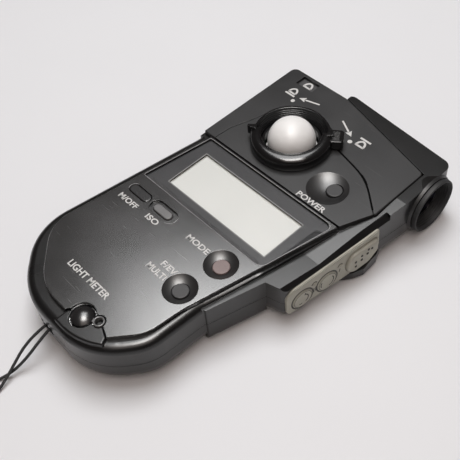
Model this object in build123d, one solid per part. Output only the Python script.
from build123d import *
import os
from math import atan2, degrees, hypot, radians, sqrt, tan

# Handheld light meter lying on its back, in millimetres. +Y runs towards the head,
# +X towards the eyepiece, +Z out of the control panel. Everything is laid out from a
# datum 51.8 mm below the dome, and place() then puts the origin under the middle of the body.

# Heights above the table
PANEL_TOP = 26.0
SHOULDER = 23.8
DECK_UNDER = 22.2
LEDGE = 22.0
LEDGE_UNDER = 20.2
BAND_TOP = 25.5
BOARD_TOP = 19.0
BOARD_THICK = 1.4
SEAM = 12.5
FLOOR = 2.0

# Walls, edges and clearances
WALL = 2.2
SEAM_GAP = 0.15
RUN_GAP = 0.25
BACK_ROUND = 7.5
SHOULDER_ROUND = 3.6
GRIP_ROUND = 3.0

# Casing outline, as corners of (x, y, radius)
BODY = [
    (-50.5, 89.5, 4), (-50.5, 28, 30), (-62, -53, 28), (-38, -75, 34), (2, -75.5, 30),
    (16.8, -56, 20), (18.2, -31, 12), (24.6, -6.4, 3.2),
    (33.8, -3.9, 3.2), (41.3, 60, 20), (41.3, 87.3, 4), (-15.5, 92, 3), (-18.9, 89.5, 3),
]
# Proud band that the fingers rest on, along the lower right side
GRIP = [(17.0, -31.0, 0), (19.0, -30.8, 0.8), (25.8, -6.0, 0.3), (24.0, -6.0, 0)]
# Area right of the raised plates: the grip ledge and the band along the head
RIGHT_BAND = [
    (-17, 110), (-17, 88.6), (-15.2, 88.3), (36.25, 75.4), (36.25, 46), (33.3, 39),
    (29.9, 30), (23.9, 0), (17, -31.6), (80, -31.6), (80, 110),
]
PANEL = [
    (-44.4, 30.4, 0.5), (-56, -48, 18), (-33, -68.5, 26), (1, -68.5, 1), (13.2, -53.5, 16),
    (14.6, -38, 40), (29.7, 30.4, 0.5),
]
WINDOW = [(-48.6, -4.6, 1), (21.7, -4.6, 3.5), (28.3, 29.4, 3.5), (-43.6, 29.4, 1)]
HEAD = [
    (-49.3, 30.7, 0.5), (-49.3, 88.3, 3), (-17.4, 88.3, 0.5), (-15.3, 87.9, 1),
    (36, 75.1, 2), (36, 46, 2), (33.1, 39, 4), (29.8, 30.7, 0.5),
]
BEZEL = [
    (-43.5, 20, 0), (-42, 40, 12), (-38, 52, 10), (-36, 62, 4), (-20, 66, 6), (4, 61, 8),
    (21, 57, 12), (35, 45, 3), (60, 30, 0), (60, 20, 0),
]
DISPLAY = (-38.9, 18.6, 0.5, 22.5)

# Incident dome and its turning ring
DOME_X, DOME_Y = -16.3, 51.8
DOME_R = 10.6
DOME_Z = 26.8
DOME_LIFT = 4.0
RING_OUTER = 17.9
RING_INNER = 13.5
RING_TOP = 32.4
TAB_ANGLE = 37.0
WELL_R = 16.1

# Buttons on the panel: centre, dish centre and dish radius
PEG_R = 3.45
DISH_DEPTH = 2.6
PEG_TOP = 24.7
BOSS_UNDER = 22.6
MODE = (9.8, -13.9)
MULTI = (6.9, -32.2)
POWER = (15.0, 44.6)
POWER_DISH = (13.0, 42.6)
DISH_R = 7.0
POWER_DISH_R = 8.9
OFF = (-41.3, -12.3)
ISO = (-27.0, -12.2)

# Finder: an optical axis along X through the head
FINDER_Y, FINDER_Z = 73.5, 13.6
CUP_R = 12.5
CUP_BORE = 11.05
RIGHT_WALL = 41.3
LEFT_WALL = -50.5

# Side keypad, on the wall from the grip bump to the head
KEY_START = (33.8, -3.9)
KEY_END = (41.3, 60.0)
KEY_PROUD = 0.8
KEY_SUNK = 1.0
LOWER_KEY = (8.1, 10.3)
UPPER_KEY = (20.6, 10.8)
KEY_R = 4.9
MEASURE = (38.8, 12.2)
KEYPAD = [(0.6, 4.7, 2.5), (0.3, 19.5, 5), (47.9, 21.9, 1.2), (48.6, 10.5, 5), (42, 5.4, 8), (30, 4.7, 8)]
MEASURE_PAD = [(30.5, 6.0, 5), (30.5, 17.6, 5), (46.7, 18.1, 1.4), (47.0, 11.0, 3.6), (42, 6.6, 5)]

# Indicator window at the corner of the head
INDICATOR = (-41.4, -31.7, 80.7, 86.4)
INDICATOR_TRAVEL = 8.0

# Sync terminal
SYNC = (-10.5, -65.3)
SYNC_CAP_R = 4.6
SYNC_COLLAR_R = 5.3
EYELET = (-3.6, -62.6)
EYELET_R = 2.3

# Battery: one AA cell, leaning with the handle
LEAN = 9.5
CELL = (-22.0, -26.0, 9.65)
CELL_R, CELL_LENGTH = 7.2, 49.5
DOOR_LENGTH, DOOR_WIDTH = 54.0, 18.0
DOOR_TRAVEL = 8.0

# Tripod bush and housing screws
TRIPOD = (4.0, -12.0)
TRIPOD_R = 3.175
POSTS = [
    (-49.5, -20, DECK_UNDER), (-42, 60, DECK_UNDER), (-42, 82.2, DECK_UNDER),
    (15, -20.5, 21.0), (33, 54, 21.0), (4.5, -57, DECK_UNDER), (-41.5, -56, DECK_UNDER),
]
POST_R = 2.8

# Wrist strap: a thin cord loop, its spare length wound in a coil beyond the handle
CORD_D = 1.2
BAR_X, BAR_Y, BAR_Z = -24.7, -74.0, 12.5
BAR_R = 0.8
COIL_X, COIL_Y = -25.5, -117.5
COIL_INNER, COIL_OUTER = 4.6, 8.4
COIL_LOW, COIL_HIGH = 0.5, 3.0


def face(corners):
    """Flat outline from corners of (x, y, radius)."""
    points = [(x, y) for x, y, _ in corners]
    radii = [r for _, _, r in corners]
    return make_face(FilletPolyline(*points, radius=radii, close=True))


def prism(outline, low, high):
    return extrude(Pos(0, 0, low) * outline, high - low)


def box(x0, x1, y0, y1, z0, z1):
    return Pos((x0 + x1) / 2, (y0 + y1) / 2, (z0 + z1) / 2) * Box(x1 - x0, y1 - y0, z1 - z0)


def post(x, y, r, low, high):
    return Pos(x, y, (low + high) / 2) * Cylinder(r, high - low)


def tube(x, y, outer, inner, low, high):
    return post(x, y, outer, low, high) - post(x, y, inner, low - 1, high + 1)


def along_x(y, z, r, low, high):
    """Round bar along X."""
    return Pos((low + high) / 2, y, z) * Rot(0, 90, 0) * Cylinder(r, high - low)


def sleeve_x(y, z, outer, inner, low, high):
    return along_x(y, z, outer, low, high) - along_x(y, z, inner, low - 1, high + 1)


def grow(outline, amount):
    return offset(outline, amount=amount)


def drawn_in(corners, inset):
    """Outline whose edges all move inwards by inset. Corners run anticlockwise."""
    moved = []
    count = len(corners)
    for i, (x, y, r) in enumerate(corners):
        before, after = corners[i - 1], corners[(i + 1) % count]
        a = Vector(x - before[0], y - before[1]).normalized()
        b = Vector(after[0] - x, after[1] - y).normalized()
        turn = a.X * b.Y - a.Y * b.X
        along = (1 - a.dot(b)) / turn if abs(turn) > 1e-6 else 0
        x -= inset * (a.Y + along * a.X)
        y += inset * (a.X - along * a.Y)
        moved.append((x, y, max(r - inset if turn > 0 else r + inset, 0.5)))
    return face(moved)


def back_inset(height):
    """How far the rounded back has drawn in at a height above the table."""
    drop = max(BACK_ROUND - height, 0) / BACK_ROUND
    return BACK_ROUND * (1 - sqrt(1 - drop * drop))


body_face = face(BODY)
grip_face = face(GRIP)
inner_face = grow(body_face, -WALL)
band_face = make_face(Polyline(*RIGHT_BAND, close=True))
band_wide = grow(band_face, 1.8)
panel_face = face(PANEL)
window_face = face(WINDOW)
dome_disc = Pos(DOME_X, DOME_Y) * Circle(18.8)
bezel_area = face(BEZEL) + dome_disc
head_face = face(HEAD)


def key_frame(u=0.0, v=0.0, w=0.0):
    """Frame on the keypad wall: u towards the head, v up, w out of the wall."""
    dx, dy = KEY_END[0] - KEY_START[0], KEY_END[1] - KEY_START[1]
    run = hypot(dx, dy)
    dx, dy = dx / run, dy / run
    wall = Plane(origin=(KEY_START[0], KEY_START[1], 0), x_dir=(dx, dy, 0), z_dir=(dy, -dx, 0))
    return wall.location * Pos(u, v, w)


def measure_outline(extra=0.0):
    """Measuring button: a round end and a pointed end."""
    return grow(face(MEASURE_PAD), extra) if extra else face(MEASURE_PAD)


def finder_bore():
    bore = along_x(FINDER_Y, FINDER_Z, CUP_BORE, 36.4, 60)
    return bore + along_x(FINDER_Y, FINDER_Z, 8.6, 18, 36.4)


def objective_bore():
    return along_x(FINDER_Y, FINDER_Z, 5.2, -60, -46)


def strap_notch():
    return box(BAR_X - 3.6, BAR_X + 3.6, -80, -71.5, BAR_Z - 2.4, BAR_Z + 3.0)


def strap_bar():
    return along_x(BAR_Y, BAR_Z, BAR_R, BAR_X - 5.6, BAR_X + 5.6)


def key_pocket():
    """Everything the keypad and its buttons need cut from the side wall."""
    sunk = extrude(key_frame(w=-KEY_SUNK) * face(KEYPAD), 10)
    holes = [
        extrude(key_frame(u, v, -4) * Circle(KEY_R + RUN_GAP), 5)
        for u, v in (LOWER_KEY, UPPER_KEY)
    ]
    large = extrude(key_frame(w=-4) * measure_outline(RUN_GAP), 5)
    behind = extrude(key_frame(24.6, 11.6, -4.2) * Rectangle(47, 16.6), 2.0)
    return [sunk, large, behind] + holes


def ledge_bevel():
    """Wedge off the outer edge of the ledge, above the keypad."""
    dx, dy = KEY_END[0] - KEY_START[0], KEY_END[1] - KEY_START[1]
    run = hypot(dx, dy)
    wedge = make_face(Polyline((-2.2, 22.0), (0.6, 19.2), (6, 19.2), (6, 26), (-2.2, 26), close=True))
    start = Plane(
        origin=(KEY_START[0] - 8 * dx / run, KEY_START[1] - 8 * dy / run, 0),
        x_dir=(dy / run, -dx / run, 0), z_dir=(-dx / run, -dy / run, 0))
    return extrude(start * wedge, 62, dir=(dx / run, dy / run, 0.035))


def sync_area():
    """Where the casing comes up through the foot of the panel, round the sync terminal."""
    area = Pos(SYNC[0], SYNC[1]) * Circle(SYNC_CAP_R + 0.9)
    area += Pos(EYELET[0], EYELET[1]) * Circle(EYELET_R + 0.5)
    return area + make_face(Polyline(
        (-17.0, -80), (-17.0, -67.5), (-10.5, -61), (-3.6, -60.9), (-0.6, -62.8), (3.6, -64.6),
        (4.8, -67), (4.8, -80), close=True))


def front_shell():
    handle = prism(body_face, SEAM, SHOULDER)
    handle = fillet(handle.faces().sort_by(Axis.Z)[-1].edges(), SHOULDER_ROUND) & box(-99, 99, -99, 29, 0, 40)
    head = prism(body_face, SEAM, SHOULDER)
    head = fillet(head.faces().sort_by(Axis.Z)[-1].edges(), 1.0) & box(-99, 99, 29, 99, 0, 40)
    shell = handle + head + prism(grip_face, SEAM, LEDGE)
    shell += prism(body_face & band_face, SEAM, BAND_TOP)
    raised = prism(grow(sync_area(), -0.2) & grow(body_face, -1.6), SHOULDER - 1, PANEL_TOP - 0.5)
    shell += fillet(raised.faces().sort_by(Axis.Z)[-1].edges(), 0.9)
    shell += finder_cone(SEAM, 26.6)
    ramp = make_face(Plane.YZ * Polyline(
        (-60, 40), (-60, LEDGE), (14, LEDGE), (58, BAND_TOP), (64, 28), (120, 28), (120, 40),
        close=True))
    shell -= extrude(Pos(-100, 0, 0) * ramp, 250) & prism(band_face, SEAM, 60)
    shell -= ledge_bevel() & box(20, 60, -12, 50, 10, 40)
    shell -= prism(inner_face - band_wide, SEAM - 1, DECK_UNDER)
    shell -= prism(inner_face & band_wide, SEAM - 1, LEDGE_UNDER)
    for x, y, top in POSTS:
        shell += post(x, y, POST_R, SEAM, top)
    panel_opening = grow(panel_face, -2.2) - Pos(0, 50) * Rectangle(200, 114) - grow(sync_area(), -0.1)
    shell -= prism(panel_opening, 20, 30)
    shell -= box(-43, 21.6, -3.7, 26.7, 20, 30)
    shell -= post(DOME_X, DOME_Y, WELL_R, 20, 30)
    shell -= post(POWER_DISH[0], POWER_DISH[1], 9.9, 20, 30)
    shell -= post(SYNC[0], SYNC[1], 4.3, 18, 30)
    shell -= post(SYNC[0], SYNC[1], SYNC_COLLAR_R + 0.05, 23.0, 30)
    shell -= post(EYELET[0], EYELET[1], EYELET_R + 0.4, SHOULDER, 30)
    shell -= post(EYELET[0], EYELET[1], 1.1, 18, 30)
    for x, y, top in POSTS:
        shell -= post(x, y, 1.0, SEAM - 1, 18)
    for cut in [finder_bore(), objective_bore(), strap_notch(), strap_bar()] + key_pocket():
        shell -= cut
    return shell


def finder_cone(low, high):
    """Raised skirt that leads from the head's wall out to the eyepiece."""
    cone = Pos(36.4, FINDER_Y, FINDER_Z) * Rot(0, 90, 0) * Cone(10.2, 13.0, 2 * (RIGHT_WALL - 36.4))
    return cone & box(36.3, RIGHT_WALL, 50, 100, low, high)


def grip_underside():
    """What rounding the grip's lower edge takes away, along its outer wall."""
    start, end = Vector(*GRIP[1][:2]), Vector(*GRIP[2][:2])
    along = (end - start).normalized()
    wall = Plane(origin=start - along * 4, x_dir=(along.Y, -along.X, 0), z_dir=along * -1)
    corner = Pos(1 - GRIP_ROUND, 0) * Rectangle(4, 2 + 2 * GRIP_ROUND)
    corner -= Pos(-GRIP_ROUND, 1 + GRIP_ROUND) * Circle(GRIP_ROUND)
    return extrude(wall * corner, -36)


def finger_rest():
    """Low wedge on the wall under the measuring button, seen from above as a blunt point."""
    plan = make_face(Plane.XZ * Polyline((29, -1), (34, 1.6), (38.8, 2.9), (47, 1.4), (51, -1), close=True))
    wedge = Pos(0, 1.2, 0) * extrude(plan, 5.4, dir=(0, 1, 0))
    outer = [edge for edge in wedge.edges().filter_by(Axis.Y) if edge.center().Z > 0]
    return key_frame() * fillet(outer, 0.8)


def rear_shell():
    heights = (0, 0.5, 1.6, 3.4, 5.4, BACK_ROUND)
    shell = loft([Pos(0, 0, h) * drawn_in(BODY, back_inset(h)) for h in heights])
    shell += prism(body_face, BACK_ROUND, SEAM)
    shell += prism(grip_face, 1.0, SEAM) - grip_underside()
    shell += finder_cone(0.6, SEAM)
    shell += finger_rest()
    for low, high in ((FLOOR, 4), (4, BACK_ROUND), (BACK_ROUND, SEAM + 1)):
        shell -= prism(drawn_in(BODY, back_inset(low) + WALL), low, high)
    shell += post(TRIPOD[0], TRIPOD[1], 7.6, 1, 8.2)
    for x, y, top in POSTS:
        shell += post(x, y, POST_R, 1, SEAM)
    for x, y, top in POSTS:
        shell -= post(x, y, 1.15, -1, SEAM + 1)
        shell -= post(x, y, 2.1, -1, 1.6)
    shell -= post(TRIPOD[0], TRIPOD[1], 5.5, -1, 9)
    shell -= door_recess()
    for cut in [finder_bore(), objective_bore(), strap_notch(), strap_bar()] + key_pocket():
        shell -= cut
    return shell


def cell_frame(along=0.0, z=0.0):
    """Frame on the battery's axis: y along the cell, at height z."""
    return Pos(CELL[0], CELL[1], z) * Rot(0, 0, -LEAN) * Pos(0, along, 0)


def door_recess():
    slot = cell_frame(-DOOR_TRAVEL / 2) * Box(DOOR_WIDTH + 0.4, DOOR_LENGTH + DOOR_TRAVEL + 0.4, 2.4)
    opening = cell_frame() * Box(15.4, 51.4, 8)
    return slot + opening


def battery_door():
    plate = cell_frame(0, 0.65) * Box(DOOR_WIDTH, DOOR_LENGTH, 0.9)
    ribs = [cell_frame(y, 0.22) * Box(9, 0.7, 0.3) for y in (-23, -21, -19)]
    return plate + ribs


def battery():
    can = cell_frame(0, CELL[2]) * Rot(90, 0, 0) * Cylinder(CELL_R, CELL_LENGTH)
    nub = cell_frame(CELL_LENGTH / 2 + 0.5, CELL[2]) * Rot(90, 0, 0) * Cylinder(2.7, 1.0)
    return fillet(can.edges(), 0.5) + nub


def battery_box():
    low, high = FLOOR, 13.5
    middle = (low + high) / 2
    frame = cell_frame(0, middle) * Box(18.8, 58, high - low)
    return frame - cell_frame(0, middle) * Box(15.6, 55.2, high)


def battery_spring():
    """Conical contact spring against the flat end of the cell."""
    turns = Helix(pitch=0.9, height=2.2, radius=4.6, cone_angle=-12)
    wire = sweep(Plane(origin=turns @ 0, z_dir=turns % 0) * Circle(0.3), path=turns)
    return cell_frame(-27.3, CELL[2]) * Rot(-90, 0, 0) * wire


def battery_contact():
    plate = cell_frame(26.9, 8.0) * Box(12, 0.5, 11)
    return plate + cell_frame(26.3, CELL[2]) * Rot(90, 0, 0) * Cylinder(2.0, 0.9)


def dish(x, y, r):
    ball = (r * r + DISH_DEPTH ** 2) / (2 * DISH_DEPTH)
    return Pos(x, y, PANEL_TOP - DISH_DEPTH + ball) * Sphere(ball)


def control_panel():
    plate = prism(panel_face, SHOULDER, PANEL_TOP)
    plate = chamfer(plate.faces().sort_by(Axis.Z)[-1].edges(), 0.35)
    inner = grow(panel_face, -2.6) - Pos(0, 50) * Rectangle(200, 115)
    plate += prism(inner, BOSS_UNDER, SHOULDER)
    plate -= prism(window_face, 20, 40)
    plate -= prism(sync_area(), 15, 40)
    for x, y in (MODE, MULTI):
        plate -= dish(x, y, DISH_R)
        plate -= post(x, y, PEG_R + RUN_GAP, 20, 30)
    plate -= prism(Pos(*OFF) * SlotOverall(12.4, 4.9), 20, 30)
    plate -= prism(Pos(*ISO) * SlotOverall(10.4, 4.1), 20, 30)
    plate -= prism(Pos(ISO[0] + 0.4, ISO[1]) * SlotOverall(15, 6.6), PANEL_TOP - 1.0, 30)
    return plate


def bezel_plate():
    area = (head_face & bezel_area) - (Pos(0, -69.2) * Rectangle(300, 200))
    plate = prism(grow(area, -SEAM_GAP), SHOULDER, PANEL_TOP)
    plate += post(POWER_DISH[0], POWER_DISH[1], 9.6, BOSS_UNDER, SHOULDER)
    plate -= dish(POWER_DISH[0], POWER_DISH[1], POWER_DISH_R)
    plate -= post(POWER[0], POWER[1], PEG_R + RUN_GAP, 20, 30)
    plate -= post(DOME_X, DOME_Y, WELL_R, 20, 30)
    return plate


def head_cover():
    plate = prism(head_face, SHOULDER, PANEL_TOP)
    plate = chamfer(plate.faces().sort_by(Axis.Z)[-1].edges(), 0.35)
    plate -= prism(grow(bezel_area, SEAM_GAP), 20, 40)
    x0, x1, y0, y1 = INDICATOR
    plate -= box(x0, x1, y0, y1, 20, 30)
    plate -= box(x0 - 1.3, x1 + 9.4, y0 - 1.0, y1 + 1.0, SHOULDER - 1, SHOULDER + 1.0)
    return plate


def display_window():
    return prism(grow(window_face, -0.1), 24.8, PANEL_TOP - 0.1)


def window_mask():
    x0, x1, y0, y1 = DISPLAY
    return prism(grow(window_face, -0.1), SHOULDER, 24.8) - box(x0, x1, y0, y1, 20, 30)


def lcd_panel():
    x0, x1, y0, y1 = DISPLAY
    return box(x0 - 2.1, x1 + 1.9, y0 - 2.0, y1 + 2.0, 21.6, 23.7)


def display_holder():
    x0, x1, y0, y1 = DISPLAY
    tray = box(x0 - 3.4, x1 + 2.5, y0 - 3.4, y1 + 3.4, 19.7, 22.9)
    tray -= box(x0 - 2.2, x1 + 2.0, y0 - 2.1, y1 + 2.1, 21.5, 30)
    return tray - box(x0 + 1, x1 - 1, y0 - 1.6, y1 + 1.6, 15, 30)


def lcd_connectors():
    x0, x1, y0, y1 = DISPLAY
    return [box(x0 + 2, x1 - 2, y - 0.8, y + 0.8, BOARD_TOP, 21.6) for y in (y0 - 0.6, y1 + 0.6)]


def main_board():
    area = grow(body_face, -7) & Pos(0, -3) * Rectangle(200, 122)
    board = prism(area, BOARD_TOP - BOARD_THICK, BOARD_TOP)
    for x, y, top in POSTS:
        board -= post(x, y, POST_R + 0.4, 10, 30)
    return board - post(SYNC[0], SYNC[1], 5.2, 10, 30)


def tact_switches():
    places = [MODE, MULTI, POWER, OFF, ISO]
    return [
        box(x - 2.2, x + 2.2, y - 1.7, y + 1.7, BOARD_TOP, 19.8) + post(x, y, 1.1, 19.8, 20.1)
        for x, y in places
    ]


def peg_button(x, y):
    """Round button: crowned peg, hidden flange and stem."""
    peg = post(x, y, PEG_R, 22.0, PEG_TOP)
    peg = fillet(peg.edges().sort_by(Axis.Z)[-1], 0.45)
    return peg + post(x, y, 4.5, 21.6, BOSS_UNDER - 0.1) + post(x, y, 1.5, 20.8, 21.6)


def slot_button(place, length, width, top):
    bar = prism(Pos(*place) * SlotOverall(length, width), 22.0, top)
    bar = fillet(bar.faces().sort_by(Axis.Z)[-1].edges(), 0.5)
    flange = prism(Pos(*place) * SlotOverall(length + 1.6, width + 1.6), 21.6, BOSS_UNDER - 0.1)
    return bar + flange + post(place[0], place[1], 1.3, 20.8, 21.6)


def side_keypad():
    pad = extrude(key_frame(w=-KEY_SUNK) * grow(face(KEYPAD), -0.05), KEY_SUNK + KEY_PROUD)
    outer = pad.faces().sort_by(Axis.X)[-1]
    pad = fillet(outer.edges(), 0.5)
    for u, v in (LOWER_KEY, UPPER_KEY):
        pad -= extrude(key_frame(u, v, -3) * Circle(KEY_R + RUN_GAP), 8)
    pad -= extrude(key_frame(w=-3) * measure_outline(RUN_GAP), 8)
    for u, v in ((14.2, 14.6), (27.6, 15.2)):
        pad += key_frame(u, v, KEY_PROUD) * Sphere(0.75)
    return pad


def round_key(u, v):
    cap = extrude(key_frame(u, v, -2.6) * Circle(KEY_R), 2.6 + KEY_PROUD + 0.5)
    cap = fillet(cap.edges().sort_by(Axis.X)[-1], 0.6)
    flange = extrude(key_frame(u, v, -3.1) * Circle(KEY_R + 0.8), 0.7)
    return cap + flange + extrude(key_frame(u, v, -3.6) * Circle(1.4), 0.6)


def measure_button():
    u, v = MEASURE
    cap = extrude(key_frame(w=-2.6) * measure_outline(), 2.6 + KEY_PROUD + 1.5)
    cap = fillet(cap.faces().sort_by(Axis.X)[-1].edges(), 1.1)
    flange = extrude(key_frame(w=-3.1) * measure_outline(0.6), 0.7)
    return cap + flange + extrude(key_frame(u, v, -3.6) * Circle(1.4), 0.6)


def side_board():
    return extrude(key_frame(25, 11, -5.8) * Rectangle(44, 12), 1.0)


def side_switches():
    return [
        extrude(key_frame(u, v, -4.8) * Rectangle(4.4, 4.4), 0.6)
        for u, v in (LOWER_KEY, UPPER_KEY, MEASURE)
    ]


def lumisphere_ring():
    """Knurled turning ring: a raised cuff on the near half, a tab, and a skirt in the well."""
    ring = tube(DOME_X, DOME_Y, 16.9, RING_INNER, PANEL_TOP + 0.2, RING_TOP - 0.8)
    cuff = Cylinder(RING_OUTER, 5.9, arc_size=184) - Cylinder(14.2, 8)
    ring += Pos(DOME_X, DOME_Y, PANEL_TOP + 3.35) * Rot(0, 0, -146) * cuff
    ring += tube(DOME_X, DOME_Y, 15.85, 14.4, 22.45, PANEL_TOP + 0.3)
    tab = Pos(DOME_X, DOME_Y, 0) * Rot(0, 0, TAB_ANGLE) * box(15.5, 22.2, -3.6, 3.6, 27.4, 31.4)
    tab = fillet(tab.edges().filter_by(Axis.Z), 0.6)
    return ring + tab


def lumisphere():
    outer = Pos(DOME_X, DOME_Y, DOME_Z) * (Sphere(DOME_R) & Pos(0, 0, 10) * Box(30, 30, 20))
    outer += post(DOME_X, DOME_Y, DOME_R, 21.8, DOME_Z)
    inner = Pos(DOME_X, DOME_Y, DOME_Z) * (Sphere(10) & Pos(0, 0, 10) * Box(30, 30, 20))
    return outer - inner - post(DOME_X, DOME_Y, 10, 21, DOME_Z)


def dome_carrier():
    return tube(DOME_X, DOME_Y, 11.5, 9.2, 19.8, 21.8)


def dome_guide():
    """Fixed sleeve that the dome rises in, on a flange under the deck."""
    sleeve = tube(DOME_X, DOME_Y, 12.9, 11.9, 20.9, 27.2)
    flange = tube(DOME_X, DOME_Y, 18.6, 12.2, 20.9, DECK_UNDER)
    return sleeve + flange - post(POWER_DISH[0], POWER_DISH[1], 10.6, 10, 30)


def photocell():
    return box(DOME_X - 3.5, DOME_X + 3.5, DOME_Y - 3.2, DOME_Y + 3.2, BOARD_TOP, 20.2)


def photocell_filter():
    return post(DOME_X, DOME_Y, 2.9, 20.2, 21.0)


def indicator_plate():
    x0, x1, y0, y1 = INDICATOR
    return box(x0 - 1.0, x1 + 1.0, y0 - 0.7, y1 + 0.7, SHOULDER + 0.05, SHOULDER + 0.8)


def eyepiece_cup():
    """Rubber cup on a sleeve; it turns to choose the measuring mode."""
    rim = along_x(FINDER_Y, FINDER_Z, CUP_R, 42.7, 44.9)
    rim = fillet(rim.edges().sort_by(Axis.X)[-1], 0.7)
    cup = rim + along_x(FINDER_Y, FINDER_Z, 10.9, 36.7, 42.7)
    flare = Pos(42.2, FINDER_Y, FINDER_Z) * Rot(0, 90, 0) * Cone(9.4, 11.6, 5.6)
    return cup - flare - along_x(FINDER_Y, FINDER_Z, 9.4, 30, 42)


def finder_bezel():
    ring = Pos(41.95, FINDER_Y, FINDER_Z) * Rot(0, 90, 0) * Cone(13.3, 12.8, 1.3)
    ring -= along_x(FINDER_Y, FINDER_Z, CUP_BORE, 30, 50)
    return ring & box(40, 50, 50, 100, 0.6, 40)


def eyepiece_tube():
    return sleeve_x(FINDER_Y, FINDER_Z, 8.4, 7.6, 20, 40)


def lens(r, thick, ball, x):
    """Glass with a flat back and a crowned front towards +X, centred at x."""
    glass = Cylinder(r, thick) & Pos(0, 0, thick / 2 - ball) * Sphere(ball)
    return Pos(x, FINDER_Y, FINDER_Z) * Rot(0, 90, 0) * glass


def eyepiece_lens():
    return lens(7.6, 4.4, 20, 36.2)


def mirror_block():
    return box(8.2, 19.9, 66, 81, 6.4, 20.0)


def finder_sensor():
    return box(12, 17, 70.5, 76.5, 4.6, 6.4)


def finder_barrel():
    return sleeve_x(FINDER_Y, FINDER_Z, 5.4, 4.6, -45.9, 8.2)


def objective_lens():
    return Pos(-96.6, 0, 0) * mirror(lens(4.4, 2.4, 12, -48.3), Plane.YZ)


def objective_bezel():
    barrel = sleeve_x(FINDER_Y, FINDER_Z, 5.2, 4.4, LEFT_WALL, -46.1)
    return barrel + sleeve_x(FINDER_Y, FINDER_Z, 6.3, 4.4, LEFT_WALL - 0.8, LEFT_WALL)


def sync_socket():
    x, y = SYNC
    body = post(x, y, 4.2, 14, 21) + tube(x, y, 3.0, 2.5, 21, 24.9)
    return body + post(x, y, 0.5, 21, 24.2)


def sync_cap():
    x, y = SYNC
    lens_r = 6.6
    dome = Pos(x, y, 27.2 - lens_r) * Sphere(lens_r) & post(x, y, SYNC_CAP_R, 24.4, 30)
    cap = post(x, y, SYNC_CAP_R, 23.1, 25.3) + dome
    return cap - post(x, y, 3.2, 20, 25.2)


def cap_tether():
    """Tall eyelet with a short link to the cap."""
    dx, dy = EYELET[0] - SYNC[0], EYELET[1] - SYNC[1]
    link = Pos(SYNC[0], SYNC[1]) * Rot(0, 0, degrees(atan2(dy, dx))) * box(4, 6, -0.8, 0.8, 24.2, 25.4)
    ring = post(EYELET[0], EYELET[1], EYELET_R, 24.2, 26.2) + link
    ring -= post(EYELET[0], EYELET[1], EYELET_R - 0.75, 20, 30)
    return ring - post(SYNC[0], SYNC[1], SYNC_CAP_R, 20, 30)


def cap_screw():
    x, y = EYELET
    return post(x, y, 1.1, 19.2, 23.8) + post(x, y, 1.2, 23.8, 24.2)


def tripod_bush():
    bush = post(TRIPOD[0], TRIPOD[1], 5.5, 0.1, 8.2)
    return bush - post(TRIPOD[0], TRIPOD[1], TRIPOD_R, -1, 6.6)


def housing_screws():
    return [post(x, y, 1.9, 0.4, 1.6) + post(x, y, 1.0, 1.6, 17) for x, y, top in POSTS]


def strand(route):
    """Cord tube of straight runs joined by tangent arcs as large as the runs allow."""
    points = [Vector(*p) for p in route]
    runs = [b - a for a, b in zip(points, points[1:])]
    radii = []
    for before, after in zip(runs, runs[1:]):
        half = radians(before.get_angle(after)) / 2
        radii.append(0.45 * min(before.length, after.length) / tan(half))
    path = FilletPolyline(*points, radius=radii)
    section = Plane(origin=path @ 0, z_dir=path % 0) * Circle(CORD_D / 2)
    solid = sweep(section, path=path)
    ideal = 3.14159 * (CORD_D / 2) ** 2 * path.length
    print("strand radii", [round(r, 1) for r in radii], "length", round(path.length, 1),
          "volume share", round(solid.volume / ideal, 3))
    return solid


STRAND_A = [
    (-25.9, -74.9, 12.6), (-26.2, -80.5, 11.6), (-26.3, -87.0, 8.6), (-25.0, -93.2, 5.2),
    (-23.7, -98.6, 2.4), (-22.4, -104.6, 0.9), (-19.2, -110.2, 1.0), (-17.8, -116.6, 1.1),
]
STRAND_B = [
    (-23.6, -74.9, 12.3), (-23.2, -80.5, 10.6), (-23.2, -87.0, 6.8), (-24.4, -93.4, 2.9),
    (-26.2, -99.2, 1.0), (-28.6, -105.0, 0.9), (-32.0, -110.4, 1.8), (-33.2, -116.8, 2.4),
]


def strap_coil():
    return tube(COIL_X, COIL_Y, COIL_OUTER, COIL_INNER, COIL_LOW, COIL_HIGH)


def strap_tie():
    band = box(COIL_X + 4.0, COIL_X + 9.0, COIL_Y - 1.5, COIL_Y + 1.5, 0, COIL_HIGH + 0.5)
    return band - tube(COIL_X, COIL_Y, COIL_OUTER, COIL_INNER, COIL_LOW, COIL_HIGH)


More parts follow.
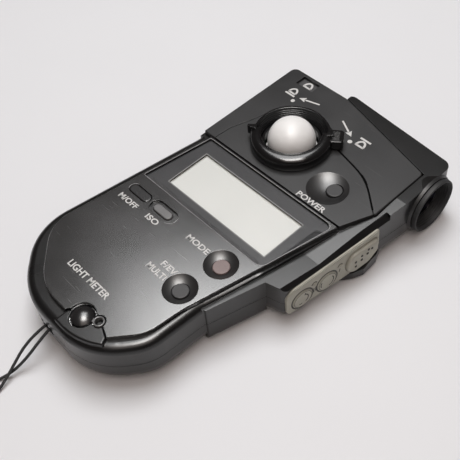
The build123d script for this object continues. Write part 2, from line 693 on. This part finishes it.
parts = {
    "front_shell": front_shell(),
    "rear_shell": rear_shell(),
    "control_panel": control_panel(),
    "bezel_plate": bezel_plate(),
    "head_cover": head_cover(),
    "display_window": display_window(),
    "window_mask": window_mask(),
    "lcd_panel": lcd_panel(),
    "display_holder": display_holder(),
    "lcd_connectors": lcd_connectors(),
    "main_board": main_board(),
    "tact_switches": tact_switches(),
    "mode_button": peg_button(*MODE),
    "multi_button": peg_button(*MULTI),
    "power_button": peg_button(*POWER),
    "off_button": slot_button(OFF, 12.0, 4.5, PANEL_TOP + 0.2),
    "iso_button": slot_button(ISO, 10.0, 3.7, PANEL_TOP - 0.1),
    "side_keypad": side_keypad(),
    "lower_key": round_key(*LOWER_KEY),
    "upper_key": round_key(*UPPER_KEY),
    "measure_button": measure_button(),
    "side_board": side_board(),
    "side_switches": side_switches(),
    "lumisphere_ring": lumisphere_ring(),
    "lumisphere": lumisphere(),
    "dome_carrier": dome_carrier(),
    "dome_guide": dome_guide(),
    "photocell": photocell(),
    "photocell_filter": photocell_filter(),
    "indicator_plate": indicator_plate(),
    "eyepiece_cup": eyepiece_cup(),
    "finder_bezel": finder_bezel(),
    "eyepiece_tube": eyepiece_tube(),
    "eyepiece_lens": eyepiece_lens(),
    "mirror_block": mirror_block(),
    "finder_sensor": finder_sensor(),
    "finder_barrel": finder_barrel(),
    "objective_lens": objective_lens(),
    "objective_bezel": objective_bezel(),
    "sync_socket": sync_socket(),
    "sync_cap": sync_cap(),
    "cap_tether": cap_tether(),
    "cap_screw": cap_screw(),
    "battery": battery(),
    "battery_box": battery_box(),
    "battery_spring": battery_spring(),
    "battery_contact": battery_contact(),
    "battery_door": battery_door(),
    "tripod_bush": tripod_bush(),
    "housing_screws": housing_screws(),
    "strap_lug": strap_bar(),
    "strap_strand_a": strand(STRAND_A),
    "strap_strand_b": strand(STRAND_B),
    "strap_coil": strap_coil(),
    "strap_tie": strap_tie(),
}
STRAP = {"strap_strand_a", "strap_strand_b", "strap_coil", "strap_tie"}


def solids_of(shape):
    if isinstance(shape, (list, tuple)):
        return Compound([s for piece in shape for s in piece.solids()])
    return shape


def place():
    """Shift that puts the origin under the middle of the body, strap left out."""
    boxes = [solids_of(s).bounding_box() for name, s in parts.items() if name not in STRAP]
    low_x, high_x = min(b.min.X for b in boxes), max(b.max.X for b in boxes)
    low_y, high_y = min(b.min.Y for b in boxes), max(b.max.Y for b in boxes)
    low_z = min(b.min.Z for b in boxes)
    return -(low_x + high_x) / 2, -(low_y + high_y) / 2, -low_z


os.makedirs("parts", exist_ok=True)
shift = place()
print("shift", [round(v, 3) for v in shift])
for name, shape in parts.items():
    export_step(Pos(*shift) * solids_of(shape), f"parts/{name}.step")
